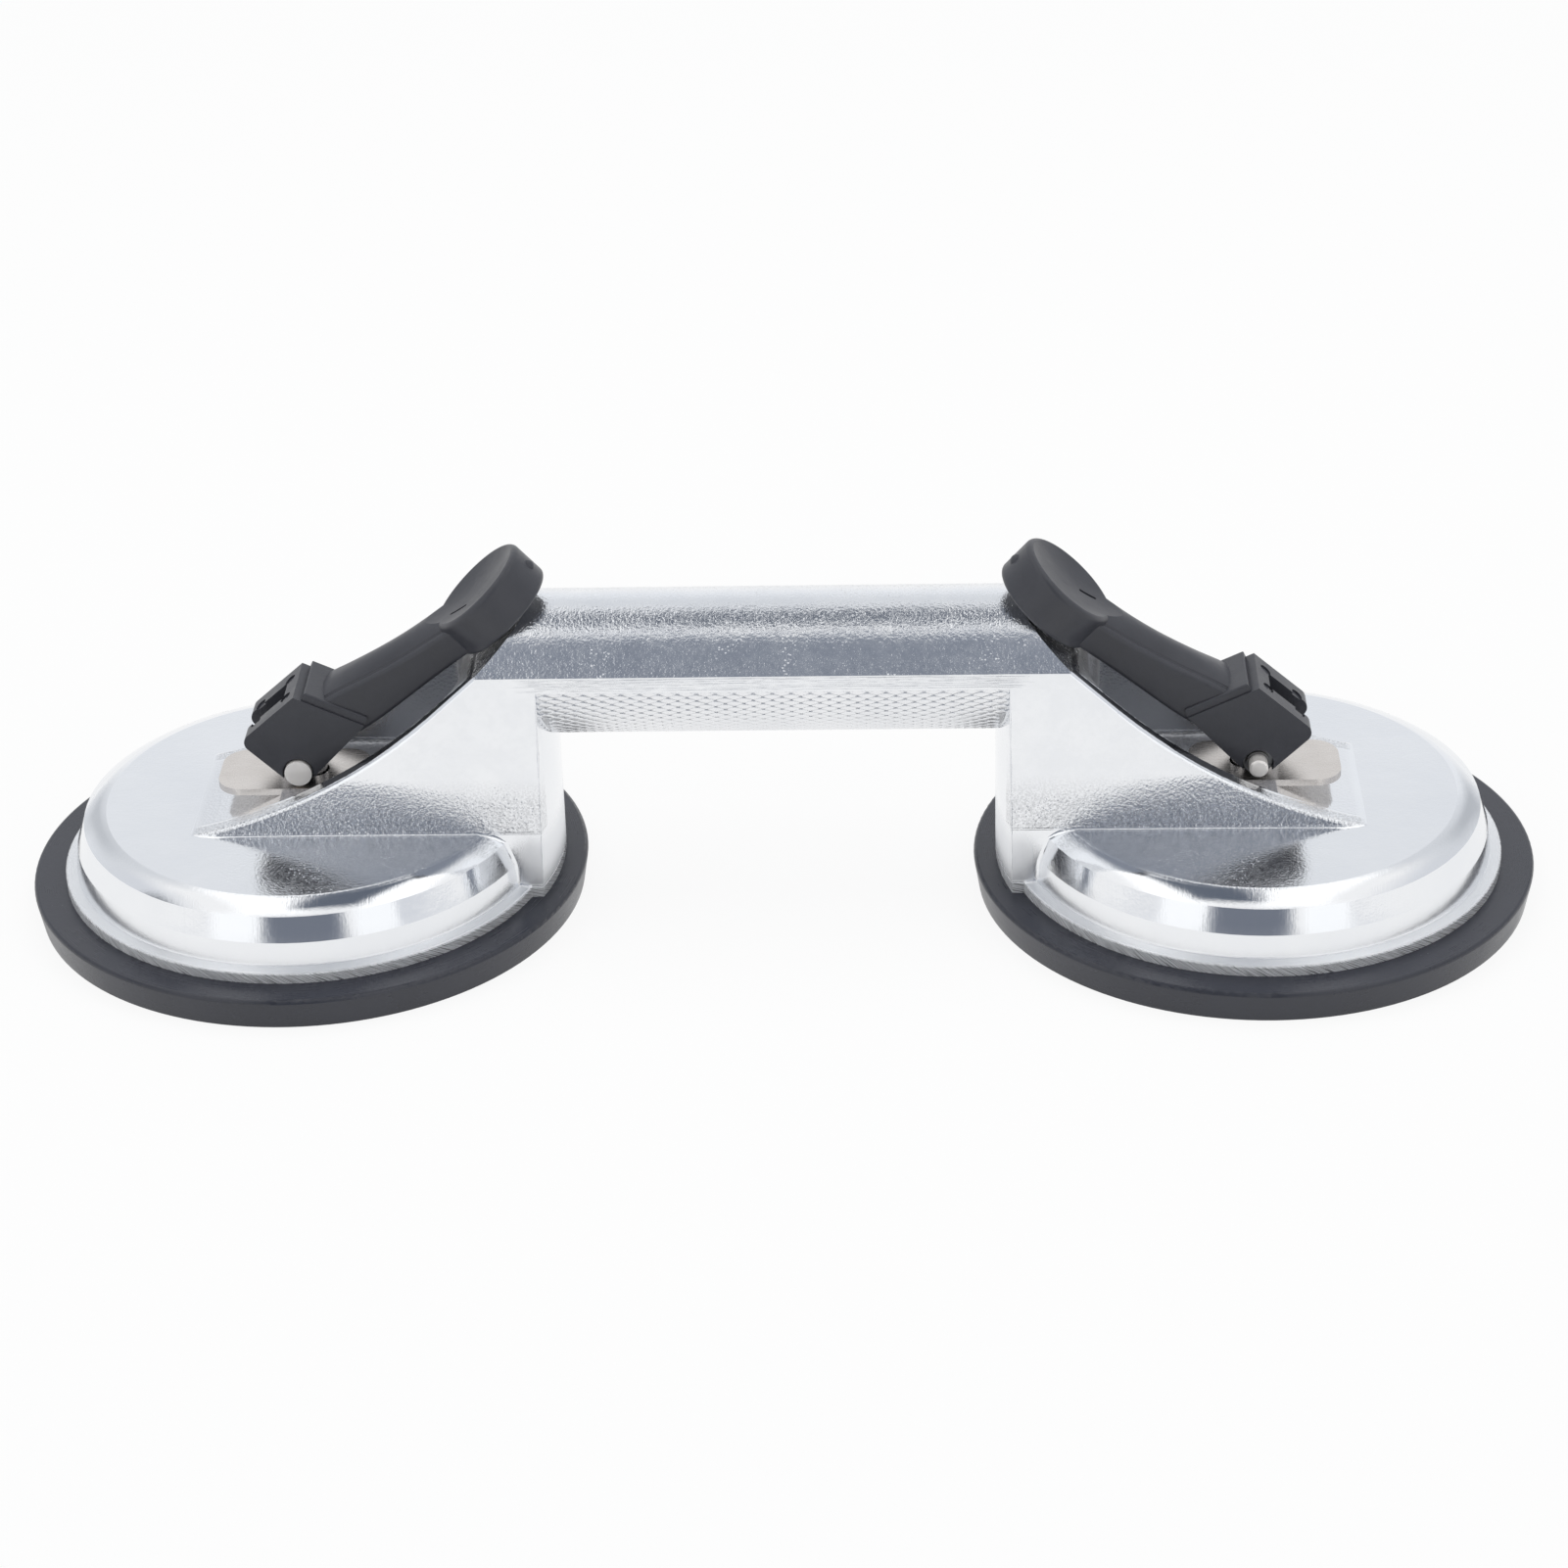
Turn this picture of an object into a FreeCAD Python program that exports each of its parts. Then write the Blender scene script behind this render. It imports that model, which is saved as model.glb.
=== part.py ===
import FreeCAD, Part
import math
import os

# Double suction lifter for floor tiles, millimetres, +Z up, standing on its pads.
# One aluminium casting carries two suction cups and the hand grip between them.
# Each cup is drawn once in its own frame: origin on the floor at the cup's axis,
# +X towards the grip.  The right cup is the left one turned half round about +Z.

# ---- driving sizes -------------------------------------------------------------
CUP_SPACING = 203.7          # axis to axis of the two cups

PAD_MARGIN = 7.0             # rubber that stands out past the flange
PAD_THICKNESS = 6.8
PAD_DRAFT = 1.0              # the pad's wall runs in by this much towards the floor
PAD_EDGE_ROUND = 0.8
SUCTION_LIP = 14.0           # flat ring of the underside round the vacuum recess
SUCTION_DEPTH = 0.8
SUCTION_RAMP = 3.2           # slope from the lip up to the recess

FLANGE_EDGE = 2.4            # height of the ground edge
FLANGE_LEDGE = 2.5           # flat ring between the ground edge and the shoulder
FLANGE_CHAMFER = 0.4
PLATEAU_DIAMETER = 86.0
PLATEAU_HEIGHT = 15.2        # above the pad
BEVEL_WIDTH = 5.0            # sloping band round the plateau
BEVEL_DROP = 2.2
BEVEL_BULGE = 0.3
SHOULDER_WIDTH = 1.8         # steep band under it, down to a soft crease
SHOULDER_DROP = 5.2
SKIRT_WIDTH = 0.7            # steeper band from the crease down to the ledge
DISH_WALL = 3.0
RIM_SEAT = 4.5               # width of the flange's underside that sits on the pad

FLOOR_RISE = 4.6             # pocket floor above the plateau
FLOOR_RAMP = 18.5            # length of the slope from the plateau to that floor
FLOOR_THICKNESS = 4.0
RISER_TIP = 22.5             # outer end of the riser's side walls from the cup axis
RISER_OVERHANG = 2.3         # the riser's inner end, round the cup axis, passes the flange by this
RISER_WALL = 2.8             # side walls beside the pocket, at the top
RISER_DRAFT = 2.0            # degrees, on the side faces
RAMP_ANGLE = 42.5            # slope of the riser's upper edge where it is straight
RAMP_RUN = 20.9              # horizontal length of that straight
RAMP_SETBACK = 4.4           # flat left between the slope and the riser's inner end
RISER_EDGE_ROUND = 0.9       # outer upper edge of the riser's side walls
RISER_FOOT_ROUND = 0.9       # where the riser stands on the dish
POCKET_END_WALL = 19.3       # metal between the pocket's end and the riser's inner end
POCKET_CORNER = 4.0
POCKET_FLOOR_ROUND = 1.5

GRIP_WIDTH = 34.0
GRIP_TOP_Z = 68.6            # top of the grip above the floor
GRIP_CROWN = 10.3            # height of the arched top above the upright band
GRIP_BAND = 3.6              # height of the upright band on each side
GRIP_BELLY = 15.7            # depth of the arched underside below it
KNURL_RECESS = 0.5           # the knurled underside is set in by this much

PLATE_THICKNESS = 1.5
PLATE_WIDTH = 17.6
PLATE_OUTER = 18.0           # end towards the cup's outer side, from the cup axis
PLATE_INNER = 14.0
PLATE_CORNER = 5.5

PIN_RADIUS = 2.0
PIN_HEAD_RADIUS = 2.9
PIN_HEAD_THICKNESS = 1.6
PIN_HEAD_STANDS_OUT = 0.4
PIN_TAIL = 2.4               # length that stands out of the far cheek
PIN_CHAMFER = 0.4

TONGUE_WIDTH = 10.0
TONGUE_THICKNESS = 6.0
COLLAR_RADIUS = 9.0
COLLAR_HEIGHT = 3.0
COLLAR_TAPER = 1.0
DISC_RADIUS = 30.0
DISC_THICKNESS = 2.5
DISC_COVER = 1.0             # least height of rubber edge above the disc

HEAD_WIDTH = 16.0
CAM_ROUND = 2.2              # cam corner that rolls over the wear plate
HEEL_ROUND = 3.1             # round of the cheeks about the pin, which rests on the plate
HEAD_BRIDGE = 3.6            # web that closes the slot at the head's upper corner
COUNTERBORE_DEPTH = 1.2
CLIP_BORE_RADIUS = 3.3
CLIP_BORE_DEPTH = 1.8
CLIP_THICKNESS = 0.5
NECK_BAND = 1.8              # band that stands out round the arm's root
NECK_BAND_DROP = 0.4         # the cheeks stand out from it by this much
NECK_BAND_ROUND = 0.5
TAB_RADIUS = 11.9
TAB_THICKNESS = 9.2
TAB_DISH = 1.8
TAB_RIM = 1.2                # width of the rim round the dished thumb face
TAB_FOOT_ROUND = 1.2
TAB_SETBACK = 6.3            # tab's centre down the riser's slope from the slope's top
TAB_SLOT_LENGTH = 4.2        # narrow slot in the dish, beside the arm
TAB_SLOT_WIDTH = 0.8
TAB_SLOT_PLACE = (-5.8, -2.0)
TAB_SLOT_DEPTH = 0.6         # below the dish's lowest point
TAB_NUB_RADIUS = 1.6         # nub on the tab's far end
TAB_NUB_STANDS_OUT = 0.7
ARM_FOOT_ROUND = 0.8
ARM_SHOULDER = 0.9           # round over each side of the arm, up to the groove
ARM_GROOVE = 0.8             # width of the groove along each side of the arm's back
ARM_GROOVE_DEPTH = 0.25
PIN_MARK_RADIUS = 1.4        # shallow round marks in the cheeks' upper faces
PIN_MARK_DEPTH = 0.4
PIN_MARKS = (3.0, 12.0)      # places along those faces from the crown

STUD_STROKE = 12.6           # rise of the stud while the lever flips over by 139 degrees

# ---- clearances ----------------------------------------------------------------
RUNNING_FIT = 0.08           # pin in the stud's eye, radial
SEAT_FIT = 0.03              # pin in the cheeks, radial
SIDE_GAP = 0.3               # stud to cheeks, each side
HOLE_GAP = 0.4               # stud to its holes in the plate and the floor
DISC_GAP = 0.3               # disc's edge to the rubber
HEEL_GAP = 0.3               # heel of the lever to the wear plate
STROKE_GAP = 0.4             # disc to the dish's ceiling at the top of the stroke
TAB_GAP = 0.9                # thumb tab to the riser's slope
HEAD_SEAT_GAP = 0.5          # pin's head to its counterbore, radial
CLIP_SEAT_GAP = 0.2          # clip to its counterbore, radial
OVERCUT = 5.0                # cutting tools reach this far past the faces they open

# ---- worked out ----------------------------------------------------------------
HALF_SPACING = CUP_SPACING / 2
FLANGE_RADIUS = PLATEAU_DIAMETER / 2 + BEVEL_WIDTH + SHOULDER_WIDTH + SKIRT_WIDTH + FLANGE_LEDGE
PAD_RADIUS = FLANGE_RADIUS + PAD_MARGIN
RISER_RADIUS = FLANGE_RADIUS + RISER_OVERHANG
POCKET_END = RISER_RADIUS - POCKET_END_WALL
POCKET_WIDTH = GRIP_WIDTH - 2 * RISER_WALL
PLATEAU_Z = PAD_THICKNESS + PLATEAU_HEIGHT
FLOOR_Z = PLATEAU_Z + FLOOR_RISE
PLATE_Z = FLOOR_Z + PLATE_THICKNESS
PIN_Z = PLATE_Z + HEEL_ROUND + HEEL_GAP
CEILING_Z = PLATEAU_Z - DISH_WALL
GRIP_BAND_TOP = GRIP_TOP_Z - GRIP_CROWN
GRIP_BAND_BOTTOM = GRIP_BAND_TOP - GRIP_BAND
DISC_TOP_Z = min(PAD_THICKNESS - DISC_COVER, CEILING_Z - STUD_STROKE - STROKE_GAP)
EYE_RADIUS = TONGUE_WIDTH / 2
CHEEK_FACE = HEAD_WIDTH / 2
SLOT_WIDTH = TONGUE_THICKNESS + 2 * SIDE_GAP
TOUCH = 0.01                 # closer than this counts as touching
QUARTER_BULGE = (math.sqrt(2) - 1) / 2      # middle of a quarter round off its chord, per chord
X_AXIS = FreeCAD.Vector(1, 0, 0)
Y_AXIS = FreeCAD.Vector(0, 1, 0)
Z_AXIS = FreeCAD.Vector(0, 0, 1)
ORIGIN = FreeCAD.Vector(0, 0, 0)


# ---- drawing helpers -----------------------------------------------------------
def xz(x, z, y=0.0):
    """A point of a side view."""
    return FreeCAD.Vector(x, y, z)


def line(a, b):
    return Part.LineSegment(a, b).toShape()


def arc(a, b, c):
    """Arc from a through b to c."""
    return Part.Arc(a, b, c).toShape()


def bulged(a, b, bulge):
    """Arc from a to b in a side view, its middle standing out to the left of a-b."""
    chord = b - a
    side = FreeCAD.Vector(-chord.z, 0, chord.x)
    side.normalize()
    return arc(a, (a + b) * 0.5 + side * bulge, b)


def rounded(a, b):
    """Quarter round from a to b in a side view, its middle to the right of a-b."""
    return bulged(a, b, -QUARTER_BULGE * a.distanceToPoint(b))


def chain(points):
    return [line(a, b) for a, b in zip(points, points[1:])]


def polygon(points):
    return chain(points + points[:1])


def face(edges):
    """Flat face inside edges given in order."""
    return Part.Face(Part.Wire(edges))


def revolved(edges):
    """Solid of a half profile, x as radius, turned about the cup's axis."""
    return face(edges).revolve(ORIGIN, Z_AXIS, 360)


def slab(edges, width):
    """Side view given a width, centred on the middle plane."""
    outline = face(edges)
    outline.translate(Y_AXIS * (-width / 2))
    return outline.extrude(Y_AXIS * width)


def cylinder_y(radius, start, end, x, z):
    """Cylinder along Y between two places on that axis."""
    return Part.makeCylinder(radius, end - start, FreeCAD.Vector(x, start, z), Y_AXIS)


def obround(length, width, bottom, top):
    """Upright bar with round ends, its long side along X."""
    straight = (length - width) / 2
    bar = Part.makeBox(2 * straight, width, top - bottom, FreeCAD.Vector(-straight, -width / 2, bottom))
    ends = [Part.makeCylinder(width / 2, top - bottom, FreeCAD.Vector(x, 0, bottom), Z_AXIS)
            for x in (-straight, straight)]
    return bar.fuse(ends).removeSplitter()


def is_upright(edge):
    return abs(edge.tangentAt(edge.FirstParameter).z) > 0.99


def place(shape, side):
    """Move a cup's piece from the cup frame to its place on the lifter."""
    placed = shape.copy()
    if side == "right":
        placed.rotate(ORIGIN, Z_AXIS, 180)
    placed.translate(X_AXIS * (HALF_SPACING if side == "right" else -HALF_SPACING))
    return placed


# ---- casting -------------------------------------------------------------------
def dish_shoulder():
    """Profile points of the dish's outside, from the ledge up to the plateau's edge."""
    edge = xz(PLATEAU_DIAMETER / 2, PLATEAU_Z)
    brow = edge + xz(BEVEL_WIDTH, -BEVEL_DROP)
    crease = brow + xz(SHOULDER_WIDTH, -SHOULDER_DROP)
    foot = xz(FLANGE_RADIUS - FLANGE_LEDGE, PAD_THICKNESS + FLANGE_EDGE + FLANGE_CHAMFER)
    return foot, crease, brow, edge


def dish():
    """Round body of one cup, still full inside."""
    rim = FLANGE_RADIUS
    ledge_z = PAD_THICKNESS + FLANGE_EDGE
    foot, crease, brow, edge = dish_shoulder()
    outside = [
        xz(0, PLATEAU_Z),
        xz(0, PAD_THICKNESS),
        xz(rim, PAD_THICKNESS),
        xz(rim, ledge_z - FLANGE_CHAMFER),
        xz(rim - FLANGE_CHAMFER, ledge_z),
        foot,
        crease,
        brow,
    ]
    return revolved(chain(outside) + [bulged(brow, edge, -BEVEL_BULGE), line(edge, outside[0])])


def dish_cavity():
    """Hollow above the pad in which the stud's disc rises."""
    foot, crease, brow, edge = dish_shoulder()
    well = COLLAR_RADIUS + DISH_WALL
    well_z = FLOOR_Z - FLOOR_THICKNESS
    return revolved(polygon([
        xz(0, PAD_THICKNESS),
        xz(FLANGE_RADIUS - RIM_SEAT, PAD_THICKNESS),
        crease - xz(DISH_WALL, 0),
        brow - xz(DISH_WALL, DISH_WALL),
        edge - xz(DISH_WALL, DISH_WALL),
        xz(well, CEILING_Z),
        xz(well, well_z),
        xz(0, well_z),
    ]))


def riser_edge():
    """Upper edge of the riser's side walls: an arc from the tip, then a straight slope."""
    slope = math.radians(RAMP_ANGLE)
    top = xz(RISER_RADIUS - RAMP_SETBACK, GRIP_TOP_Z)
    bend = xz(top.x - RAMP_RUN, top.z - RAMP_RUN * math.tan(slope))
    tip = xz(-RISER_TIP, PLATEAU_Z)
    chord = bend - tip
    turn = slope - math.atan2(chord.z, chord.x)
    radius = chord.Length / (2 * math.sin(turn))
    centre = bend + xz(-math.sin(slope), math.cos(slope)) * radius
    down = (tip + bend) * 0.5 - centre
    down.normalize()
    return tip, centre + down * radius, bend, top


def across(y, z):
    """A point of a cross view."""
    return FreeCAD.Vector(0, y, z)


def crown(half):
    """Arched top of the riser and the grip, from the +Y side to the -Y side."""
    return arc(across(half, GRIP_BAND_TOP), across(0, GRIP_TOP_Z), across(-half, GRIP_BAND_TOP))


def riser_section():
    """Cross view of the riser: drafted sides under the grip's arched top."""
    half = GRIP_WIDTH / 2
    foot = half + (GRIP_BAND_TOP - PAD_THICKNESS) * math.tan(math.radians(RISER_DRAFT))
    return [crown(half)] + chain([
        across(-half, GRIP_BAND_TOP),
        across(-foot, PAD_THICKNESS),
        across(foot, PAD_THICKNESS),
        across(half, GRIP_BAND_TOP),
    ])


def riser():
    """Riser that grows out of the dish and turns into the grip."""
    tip, middle, bend, top = riser_edge()
    crest = top + xz(1, math.tan(math.radians(RAMP_ANGLE))) * OVERCUT
    overrun = RISER_RADIUS + OVERCUT
    outline = [arc(tip, middle, bend)] + chain([
        bend,
        crest,
        xz(overrun, crest.z),
        xz(overrun, PAD_THICKNESS),
        xz(tip.x, PAD_THICKNESS),
        tip,
    ])
    body = slab(outline, 2 * FLANGE_RADIUS)
    section = face(riser_section())
    section.translate(X_AXIS * -FLANGE_RADIUS)
    body = body.common(section.extrude(X_AXIS * 3 * FLANGE_RADIUS))
    body = body.common(Part.makeCylinder(RISER_RADIUS, GRIP_TOP_Z + OVERCUT, ORIGIN, Z_AXIS))
    rims = [e for e in body.Edges if climbs_between(e.BoundBox, PLATEAU_Z, top)]
    return body.makeFillet(RISER_EDGE_ROUND, rims)


def climbs_between(box, low, top):
    """Whether an edge with this box runs up the riser's arc, its slope or over its crown."""
    return box.ZMin > low - TOUCH and box.XMax < top.x + TOUCH and box.ZLength > RISER_EDGE_ROUND


def pocket():
    """Open channel between the riser's side walls that holds the lever's head."""
    above = GRIP_TOP_Z + OVERCUT
    ramp_end = FLOOR_RAMP - RISER_TIP
    outer = -RISER_TIP - OVERCUT
    tool = slab(polygon([
        xz(-RISER_TIP, PLATEAU_Z),
        xz(ramp_end, FLOOR_Z),
        xz(POCKET_END, FLOOR_Z),
        xz(POCKET_END, above),
        xz(outer, above),
        xz(outer, PLATEAU_Z),
    ]), POCKET_WIDTH)
    corners = [e for e in tool.Edges
               if is_upright(e) and abs(e.CenterOfMass.x - POCKET_END) < TOUCH]
    tool = tool.makeFillet(POCKET_CORNER, corners)
    feet = [e for e in tool.Edges
            if abs(e.CenterOfMass.z - FLOOR_Z) < TOUCH and e.CenterOfMass.x > ramp_end + TOUCH]
    return tool.makeFillet(POCKET_FLOOR_ROUND, feet)


def grip():
    """Hand grip between the risers, its knurled underside set in a little."""
    half = GRIP_WIDTH / 2
    inset = half - KNURL_RECESS
    belly = [across(inset, GRIP_BAND_BOTTOM), across(0, GRIP_BAND_BOTTOM - GRIP_BELLY),
             across(-inset, GRIP_BAND_BOTTOM)]
    section = face([
        crown(half),
        line(across(-half, GRIP_BAND_TOP), across(-half, GRIP_BAND_BOTTOM)),
        line(across(-half, GRIP_BAND_BOTTOM), belly[2]),
        arc(belly[2], belly[1], belly[0]),
        line(belly[0], across(half, GRIP_BAND_BOTTOM)),
        line(across(half, GRIP_BAND_BOTTOM), across(half, GRIP_BAND_TOP)),
    ])
    reach = HALF_SPACING - POCKET_END - POCKET_CORNER
    section.translate(X_AXIS * -reach)
    bar = section.extrude(X_AXIS * (2 * reach))
    for side in ("left", "right"):
        bar = bar.cut(place(above_slope(), side))
    return bar


def above_slope():
    """Everything over the riser's slope, to trim the grip's end."""
    top = riser_edge()[3]
    rise = math.tan(math.radians(RAMP_ANGLE))
    high = top + xz(1, rise) * OVERCUT
    low = top - xz(1, rise) * RISER_RADIUS
    return slab(polygon([high, low, xz(low.x, high.z)]), GRIP_WIDTH * 2)


def on_surface(edge, solid):
    """Whether the middle of an edge lies on a solid's surface."""
    middle = edge.valueAt((edge.FirstParameter + edge.LastParameter) / 2)
    return Part.Vertex(middle).distToShape(solid.Shells[0])[0] < TOUCH


def cup_body():
    """Dish and riser grown together, with a small round where the riser stands on the dish."""
    base, stem = dish(), riser()
    body = base.fuse(stem)
    foot = [e for e in body.Edges if e.BoundBox.ZMin > PAD_THICKNESS + TOUCH
            and abs(e.CenterOfMass.y) > POCKET_WIDTH / 2 and on_surface(e, base) and on_surface(e, stem)]
    return body.makeFillet(RISER_FOOT_ROUND, foot)


def body_casting():
    unit = cup_body()
    unit = unit.cut(dish_cavity())
    unit = unit.cut(pocket())
    unit = unit.cut(obround(TONGUE_WIDTH + 2 * HOLE_GAP, TONGUE_THICKNESS + 2 * HOLE_GAP, 0, PIN_Z))
    whole = place(unit, "left").fuse([place(unit, "right"), grip()])
    return whole.removeSplitter()


# ---- suction cup ---------------------------------------------------------------
def rubber_pad():
    top = PAD_RADIUS
    foot = top - PAD_DRAFT
    inner = foot - SUCTION_LIP
    seat = DISC_RADIUS + DISC_GAP
    seat_z = DISC_TOP_Z - DISC_THICKNESS
    outside = [
        xz(top - PAD_EDGE_ROUND, PAD_THICKNESS),
        xz(seat, PAD_THICKNESS),
        xz(seat, seat_z),
        xz(0, seat_z),
        xz(0, SUCTION_DEPTH),
        xz(inner - SUCTION_RAMP, SUCTION_DEPTH),
        xz(inner, 0),
        xz(foot, 0),
        xz(top, PAD_THICKNESS - PAD_EDGE_ROUND),
    ]
    return revolved(chain(outside) + [rounded(outside[-1], outside[0])])


def insert_disc():
    return Part.makeCylinder(DISC_RADIUS, DISC_THICKNESS,
                             FreeCAD.Vector(0, 0, DISC_TOP_Z - DISC_THICKNESS), Z_AXIS)


def pull_stud():
    """Flat tongue on a collar, with an eye for the hinge pin at its top."""
    tongue = Part.makeBox(TONGUE_WIDTH, TONGUE_THICKNESS, PIN_Z - DISC_TOP_Z,
                          FreeCAD.Vector(-TONGUE_WIDTH / 2, -TONGUE_THICKNESS / 2, DISC_TOP_Z))
    eye = cylinder_y(EYE_RADIUS, -TONGUE_THICKNESS / 2, TONGUE_THICKNESS / 2, 0, PIN_Z)
    keep = obround(TONGUE_WIDTH, TONGUE_THICKNESS, DISC_TOP_Z, PIN_Z + EYE_RADIUS)
    collar = Part.makeCone(COLLAR_RADIUS, COLLAR_RADIUS - COLLAR_TAPER, COLLAR_HEIGHT,
                           FreeCAD.Vector(0, 0, DISC_TOP_Z), Z_AXIS)
    bore = cylinder_y(PIN_RADIUS + RUNNING_FIT, -TONGUE_THICKNESS, TONGUE_THICKNESS, 0, PIN_Z)
    return tongue.fuse(eye).common(keep).fuse(collar).cut(bore).removeSplitter()


def wear_plate():
    """Hardened strip on the pocket floor under the lever's cam."""
    length = PLATE_OUTER + PLATE_INNER
    plate = Part.makeBox(length, PLATE_WIDTH, PLATE_THICKNESS,
                         FreeCAD.Vector(-PLATE_OUTER, -PLATE_WIDTH / 2, FLOOR_Z))
    plate = plate.makeFillet(PLATE_CORNER, [e for e in plate.Edges if is_upright(e)])
    hole = obround(TONGUE_WIDTH + 2 * HOLE_GAP, TONGUE_THICKNESS + 2 * HOLE_GAP, 0, PIN_Z)
    return plate.cut(hole)


# ---- lever ---------------------------------------------------------------------
def lever_point(x, z):
    """Point of the lever's side view, measured from the pin with the lever up."""
    return xz(x, PIN_Z + z)


def tab_centre():
    """Middle of the thumb tab, which lies along the riser's slope."""
    slope = math.radians(RAMP_ANGLE)
    along = xz(math.cos(slope), math.sin(slope))
    off = xz(-math.sin(slope), math.cos(slope))
    return riser_edge()[3] - along * TAB_SETBACK + off * (TAB_GAP + TAB_THICKNESS / 2)


CAM_CORNER = (-12.0, 7.4)
CROWN_CORNER = (0.3, 18.1)
NECK_CORNER = (15.0, 11.2)


def towards(start, end, distance):
    """Point at a distance from start on the way to end."""
    step = FreeCAD.Vector(end[0] - start[0], 0, end[1] - start[1])
    step.normalize()
    return (start[0] + step.x * distance, start[1] + step.z * distance)


def heel_tangent(corner, side):
    """Where a line from a corner touches the heel's round about the pin."""
    reach = math.hypot(*corner)
    angle = math.atan2(corner[1], corner[0]) + side * math.acos(HEEL_ROUND / reach)
    return (HEEL_ROUND * math.cos(angle), HEEL_ROUND * math.sin(angle))


def head_outline():
    """Side view of the cheeks: cam corner, crown, neck and the heel round the pin."""
    cam_low = heel_tangent(CAM_CORNER, 1)
    neck_low = heel_tangent(NECK_CORNER, -1)
    heel = FreeCAD.Vector(cam_low[0] + neck_low[0], 0, cam_low[1] + neck_low[1])
    heel.normalize()
    return [
        line(lever_point(*cam_low), lever_point(*CAM_CORNER)),
        line(lever_point(*CAM_CORNER), lever_point(*CROWN_CORNER)),
        line(lever_point(*CROWN_CORNER), lever_point(*NECK_CORNER)),
        line(lever_point(*NECK_CORNER), lever_point(*neck_low)),
        arc(lever_point(*neck_low), lever_point(heel.x * HEEL_ROUND, heel.z * HEEL_ROUND),
            lever_point(*cam_low)),
    ]


def lever_head():
    head = slab(head_outline(), HEAD_WIDTH)
    cam = [e for e in head.Edges if runs_across(e, CAM_CORNER)]
    return head.makeFillet(CAM_ROUND, cam)


def runs_across(edge, corner):
    """Whether an edge runs along Y through a corner of the side view."""
    centre = edge.CenterOfMass
    place_of = lever_point(*corner)
    return math.hypot(centre.x - place_of.x, centre.z - place_of.z) < TOUCH


def head_slot():
    """Slot between the cheeks that clears the stud over the whole throw."""
    clear = EYE_RADIUS + 2 * SIDE_GAP
    bridge = lever_point(*towards(CROWN_CORNER, CAM_CORNER, HEAD_BRIDGE))
    outward = face_normal()
    beyond = bridge + outward * OVERCUT
    inside = bridge - outward * (HEAD_BRIDGE + EYE_RADIUS)
    far = CAM_CORNER[0] - OVERCUT
    tool = slab(polygon([
        beyond,
        inside,
        lever_point(clear, PIN_RADIUS),
        lever_point(clear, -clear),
        lever_point(far, -clear),
        xz(far, beyond.z),
    ]), SLOT_WIDTH)
    eye = cylinder_y(clear, -SLOT_WIDTH / 2, SLOT_WIDTH / 2, 0, PIN_Z)
    return tool.fuse(eye)


def face_normal():
    """Outward direction of the face between the cam corner and the crown."""
    step = lever_point(*CROWN_CORNER) - lever_point(*CAM_CORNER)
    step.normalize()
    return xz(-step.z, step.x)


def pin_marks():
    """Shallow round marks beside the slot, two on each cheek."""
    outward = face_normal()
    tools = []
    for distance in PIN_MARKS:
        centre = lever_point(*towards(CROWN_CORNER, CAM_CORNER, distance))
        for side in (-1, 1):
            off = Y_AXIS * (side * (SLOT_WIDTH + PIN_MARK_RADIUS) / 2)
            start = centre + off - outward * PIN_MARK_DEPTH
            tools.append(Part.makeCylinder(PIN_MARK_RADIUS, OVERCUT, start, outward))
    return tools


def neck_band():
    """Rounded band round the arm's root, along the head's neck face."""
    crown_end, neck_end = lever_point(*CROWN_CORNER), lever_point(*NECK_CORNER)
    along = neck_end - crown_end
    along.normalize()
    outward = xz(-along.z, along.x)
    start = crown_end + along * NECK_BAND
    outline = polygon([start, start + outward * NECK_BAND, neck_end + outward * NECK_BAND, neck_end])
    band = slab(outline, HEAD_WIDTH - 2 * NECK_BAND_DROP)
    outer = [e for e in band.Edges
             if (e.CenterOfMass - start).dot(outward) > NECK_BAND - NECK_BAND_ROUND / 2]
    return band.makeFillet(NECK_BAND_ROUND, outer)


def bowed(a, b, centre, bulge):
    """Arc from a to b, its middle standing off the chord, away from the centre."""
    middle = (a + b) * 0.5
    away = middle - centre
    away.normalize()
    return arc(a, middle + away * bulge, b)


def arm_section(centre, slope, width, height, corner):
    """Section across the arm: flat sides, and a groove along each side of its arched back."""
    half_w = width / 2
    half_h = height / 2
    up = xz(-math.sin(slope), math.cos(slope))
    outline = (
        (half_w - ARM_FOOT_ROUND, -half_h),
        (half_w, ARM_FOOT_ROUND - half_h),
        (half_w, half_h - corner),
        (half_w - ARM_SHOULDER, half_h - corner + ARM_SHOULDER),
        (half_w - ARM_SHOULDER - ARM_GROOVE, half_h - corner + ARM_SHOULDER + ARM_GROOVE / 2),
    )
    sides = [[centre + Y_AXIS * (s * y) + up * h for y, h in outline] for s in (1, -1)]

    def climb(points):
        foot, side_low, side_top, shoulder, groove = points
        return [
            bowed(foot, side_low, centre, QUARTER_BULGE * foot.distanceToPoint(side_low)),
            line(side_low, side_top),
            bowed(side_top, shoulder, centre, QUARTER_BULGE * side_top.distanceToPoint(shoulder)),
            bowed(shoulder, groove, centre, -ARM_GROOVE_DEPTH),
        ]

    near, far = climb(sides[0]), climb(sides[1])
    back = arc(sides[0][-1], centre + up * half_h, sides[1][-1])
    underside = line(sides[1][0], sides[0][0])
    return Part.Wire([underside] + near + [back] + far[::-1])


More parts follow.
